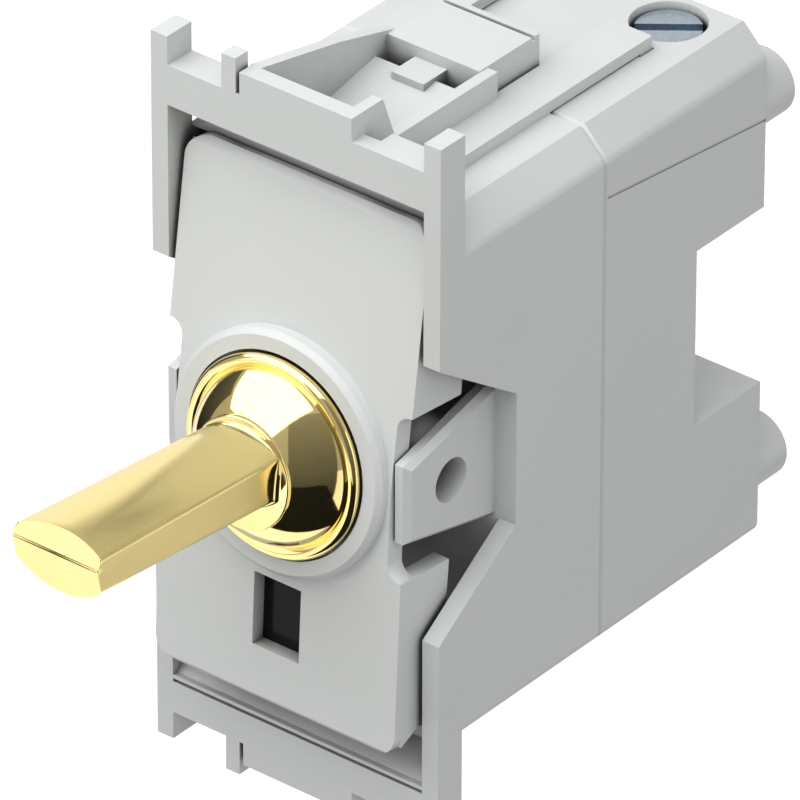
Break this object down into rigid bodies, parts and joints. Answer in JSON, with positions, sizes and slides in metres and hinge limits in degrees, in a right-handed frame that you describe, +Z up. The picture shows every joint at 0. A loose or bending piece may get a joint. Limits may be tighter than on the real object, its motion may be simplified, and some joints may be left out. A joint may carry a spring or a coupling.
{
  "type": "toggle light switch mechanism",
  "caption": "Slim modular wall-switch mechanism: rocking key with a gilt toggle lever in a clip-in housing with screw terminals behind.",
  "frame": {"origin": "middle of the front plane of the side posts, which lies at the support frame", "axes": "+X to the right seen from the front, +Y into the wall, +Z up"},
  "size_m": [0.0226, 0.058, 0.0518],
  "materials": {
    "housing_grey": "fine satin moulding",
    "base_grey": "fine satin moulding",
    "key_grey": "fine satin moulding",
    "gold_plate": "polished gold plating",
    "lamp_dark": "dark smoked lens",
    "zinc_steel": "zinc plating, slightly blue",
    "spring_steel": "drawn wire",
    "plunger_nylon": "natural nylon",
    "blade_copper": "rolled copper alloy",
    "contact_silver": "silver button",
    "strip_brass": "stamped brass",
    "clamp_steel": "zinc-plated stamping"
  },
  "bodies": {
    "housing": {"front_housing": "housing_grey", "rear_base": "base_grey", "upper_terminal_strip_left": "strip_brass", "upper_terminal_strip_right": "strip_brass", "lower_terminal_strip_left": "strip_brass", "lower_terminal_strip_right": "strip_brass", "fixed_contact_left": "contact_silver", "fixed_contact_right": "contact_silver"},
    "rocker": {"rocker_key": "key_grey", "toggle_lever": "gold_plate", "lever_fixing_screw": "zinc_steel", "lamp_lens": "lamp_dark", "plunger_spring_left": "spring_steel", "plunger_spring_right": "spring_steel"},
    "plunger_left": {"plunger_left": "plunger_nylon"},
    "plunger_right": {"plunger_right": "plunger_nylon"},
    "blade_left": {"contact_blade_left": "blade_copper", "moving_contact_left": "contact_silver"},
    "blade_right": {"contact_blade_right": "blade_copper", "moving_contact_right": "contact_silver"},
    "clamp_upper_left": {"clamp_plate_upper_left": "clamp_steel"},
    "screw_upper_left": {"terminal_screw_upper_left": "zinc_steel"},
    "clamp_upper_right": {"clamp_plate_upper_right": "clamp_steel"},
    "screw_upper_right": {"terminal_screw_upper_right": "zinc_steel"},
    "clamp_lower_left": {"clamp_plate_lower_left": "clamp_steel"},
    "screw_lower_left": {"terminal_screw_lower_left": "zinc_steel"},
    "clamp_lower_right": {"clamp_plate_lower_right": "clamp_steel"},
    "screw_lower_right": {"terminal_screw_lower_right": "zinc_steel"}
  },
  "joints": [
    {"name": "rocker_tilt", "type": "hinge", "parent": "housing", "child": "rocker", "pos_m": [0, 0.0032, 0], "axis": [1, 0, 0], "range_deg": [0, 11]},
    {"name": "plunger_slide_left", "type": "slide", "parent": "rocker", "child": "plunger_left", "axis": [0, -0.9954, 0.0958], "range_m": [0, 0.0008], "stiffness_N_per_m": 300, "springref_m": -0.002, "deforming": ["plunger_spring_left"]},
    {"name": "plunger_slide_right", "type": "slide", "parent": "rocker", "child": "plunger_right", "axis": [0, -0.9954, 0.0958], "range_m": [0, 0.0008], "stiffness_N_per_m": 300, "springref_m": -0.002, "deforming": ["plunger_spring_right"]},
    {"name": "blade_rock_left", "type": "hinge", "parent": "housing", "child": "blade_left", "pos_m": [-0.00587, 0.01435, 0], "axis": [1, 0, 0], "range_deg": [-11, 0]},
    {"name": "blade_rock_right", "type": "hinge", "parent": "housing", "child": "blade_right", "pos_m": [0.00587, 0.01435, 0], "axis": [1, 0, 0], "range_deg": [-11, 0]},
    {"name": "clamp_slide_upper_left", "type": "slide", "parent": "housing", "child": "clamp_upper_left", "axis": [0, 0, -1], "range_m": [0, 0.0012]},
    {"name": "screw_turn_upper_left", "type": "hinge", "parent": "clamp_upper_left", "child": "screw_upper_left", "pos_m": [-0.00587, 0.0292, 0], "axis": [0, 0, -1], "range_deg": [0, 720]},
    {"name": "clamp_slide_upper_right", "type": "slide", "parent": "housing", "child": "clamp_upper_right", "axis": [0, 0, -1], "range_m": [0, 0.0012]},
    {"name": "screw_turn_upper_right", "type": "hinge", "parent": "clamp_upper_right", "child": "screw_upper_right", "pos_m": [0.00587, 0.0292, 0], "axis": [0, 0, -1], "range_deg": [0, 720]},
    {"name": "clamp_slide_lower_left", "type": "slide", "parent": "housing", "child": "clamp_lower_left", "axis": [0, 0, 1], "range_m": [0, 0.0012]},
    {"name": "screw_turn_lower_left", "type": "hinge", "parent": "clamp_lower_left", "child": "screw_lower_left", "pos_m": [-0.00587, 0.0292, 0], "axis": [0, 0, 1], "range_deg": [0, 720]},
    {"name": "clamp_slide_lower_right", "type": "slide", "parent": "housing", "child": "clamp_lower_right", "axis": [0, 0, 1], "range_m": [0, 0.0012]},
    {"name": "screw_turn_lower_right", "type": "hinge", "parent": "clamp_lower_right", "child": "screw_lower_right", "pos_m": [0.00587, 0.0292, 0], "axis": [0, 0, 1], "range_deg": [0, 720]}
  ],
  "couplings": [
    {"joint": "blade_rock_left", "follows": "rocker_tilt", "ratio": -1},
    {"joint": "blade_rock_right", "follows": "rocker_tilt", "ratio": -1},
    {"joint": "screw_turn_upper_left", "follows": "clamp_slide_upper_left", "rad_per_m": 10472},
    {"joint": "screw_turn_upper_right", "follows": "clamp_slide_upper_right", "rad_per_m": 10472},
    {"joint": "screw_turn_lower_left", "follows": "clamp_slide_lower_left", "rad_per_m": 10472},
    {"joint": "screw_turn_lower_right", "follows": "clamp_slide_lower_right", "rad_per_m": 10472}
  ]
}
